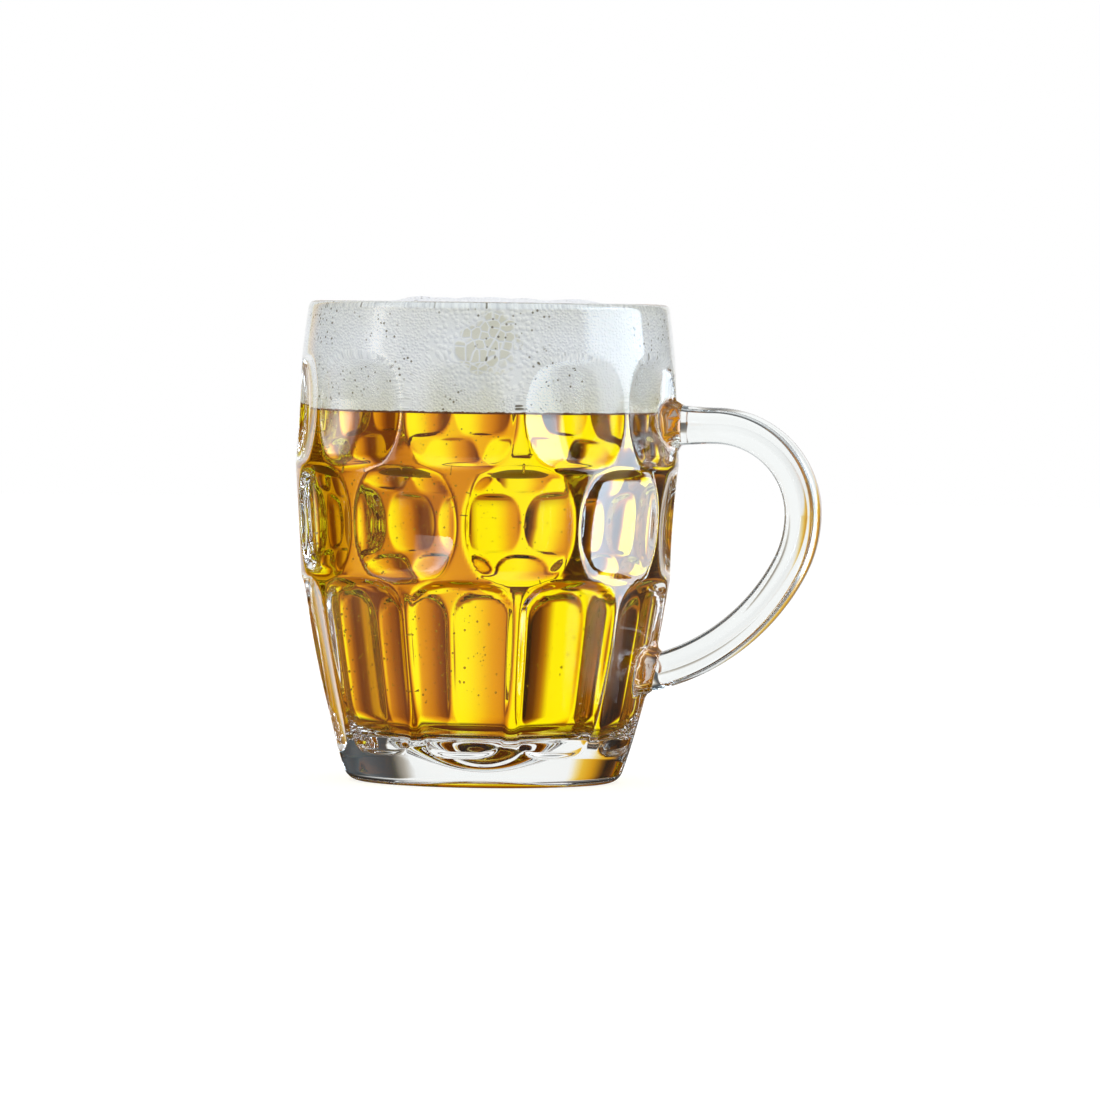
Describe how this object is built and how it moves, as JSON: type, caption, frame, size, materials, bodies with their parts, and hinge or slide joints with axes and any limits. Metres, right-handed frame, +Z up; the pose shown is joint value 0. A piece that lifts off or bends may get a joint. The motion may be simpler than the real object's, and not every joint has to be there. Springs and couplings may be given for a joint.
{
  "type": "dimpled glass beer mug",
  "caption": "Barrel-shaped pressed glass beer mug with rows of dimples over tall flutes and a stuck-on loop handle, filled with lager under a head of froth.",
  "frame": {"origin": "centre of the foot ring, on the plane that the mug stands on", "axes": "+Z up out of the mouth, +X from the mug's axis towards the handle, +Y across the handle"},
  "size_m": [0.1389, 0.1008, 0.1275],
  "materials": {
    "clear_glass": "polished",
    "lager": "gloss",
    "froth": "matte"
  },
  "bodies": {
    "root": {"glass_bowl": "clear_glass", "handle": "clear_glass", "lager": "lager", "froth": "froth"}
  },
  "joints": []
}
